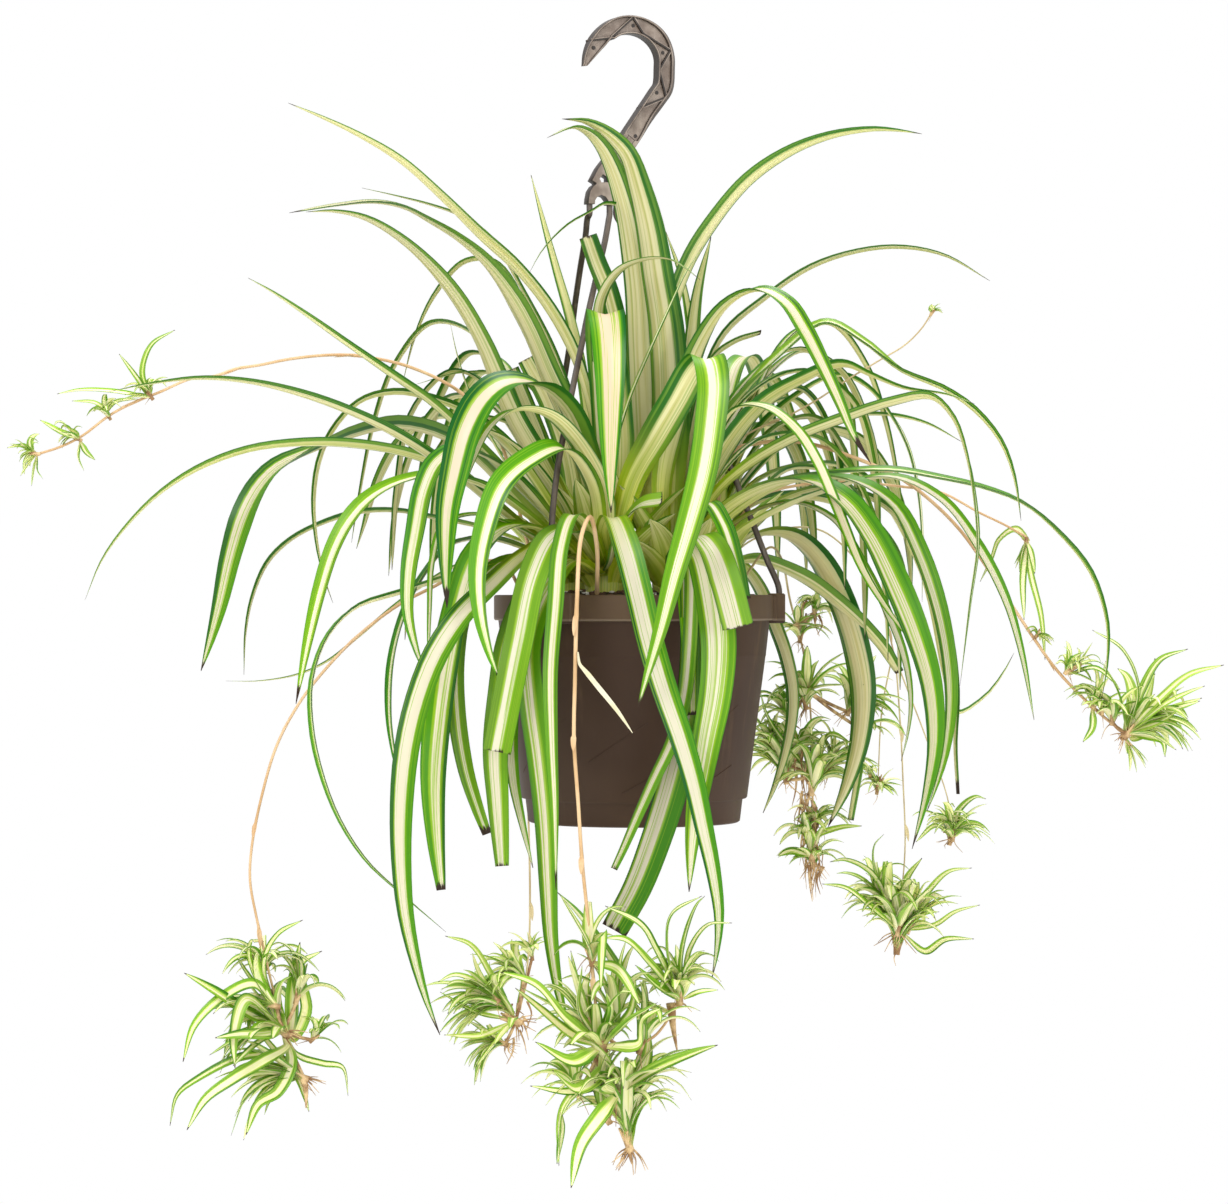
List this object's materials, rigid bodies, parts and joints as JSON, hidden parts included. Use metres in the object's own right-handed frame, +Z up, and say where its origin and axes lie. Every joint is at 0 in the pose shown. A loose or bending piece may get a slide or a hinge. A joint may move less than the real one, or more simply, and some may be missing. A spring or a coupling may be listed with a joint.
{
  "type": "potted spider plant",
  "caption": "Spider plant with arching striped leaves and trailing runners with young plants, in a round pot that hangs from a moulded hook",
  "frame": {"origin": "the inner crown of the hook, where it rests on what carries it", "axes": "+Z up, the pot's axis vertical; -Y faces the viewer of the picture; the long runners go along X"},
  "size_m": [0.7561, 0.4016, 0.7011],
  "materials": {
    "pot_plastic": "moulded plastic, satin",
    "hanger_plastic": "moulded plastic, satin",
    "soil": "loose potting mix with white grains",
    "leaf": "striped leaf, soft sheen",
    "runner": "smooth stem",
    "young_leaf": "striped leaf, soft sheen"
  },
  "bodies": {
    "root": {"crown_a": "leaf", "crown_b": "leaf", "crown_c": "leaf", "crown_d": "leaf", "hanger_hook": "hanger_plastic", "plantlet_back_left": "young_leaf", "plantlet_back_right": "young_leaf", "plantlet_back_right_dry": "young_leaf", "plantlet_back_right_low": "young_leaf", "plantlet_back_right_mid": "young_leaf", "plantlet_far_right": "young_leaf", "plantlet_far_right_mini": "young_leaf", "plantlet_far_right_small": "young_leaf", "plantlet_front": "young_leaf", "plantlet_front_high": "young_leaf", "plantlet_front_low": "young_leaf", "plantlet_front_right": "young_leaf", "plantlet_high_right": "young_leaf", "plantlet_left_a": "young_leaf", "plantlet_left_b": "young_leaf", "plantlet_left_c": "young_leaf", "plantlet_left_d": "young_leaf", "plantlet_low_left": "young_leaf", "plantlet_mid_right": "young_leaf", "plantlet_right": "young_leaf", "plantlet_right_a": "young_leaf", "plantlet_right_b": "young_leaf", "plantlet_right_c": "young_leaf", "pot": "pot_plastic", "runner_back_left": "runner", "runner_back_right": "runner", "runner_far_right": "runner", "runner_front": "runner", "runner_high_right": "runner", "runner_left": "runner", "runner_low_left": "runner", "runner_mid_right": "runner", "runner_right": "runner", "soil": "soil", "strand_back": "hanger_plastic", "strand_front": "hanger_plastic", "strand_right": "hanger_plastic"}
  },
  "joints": []
}
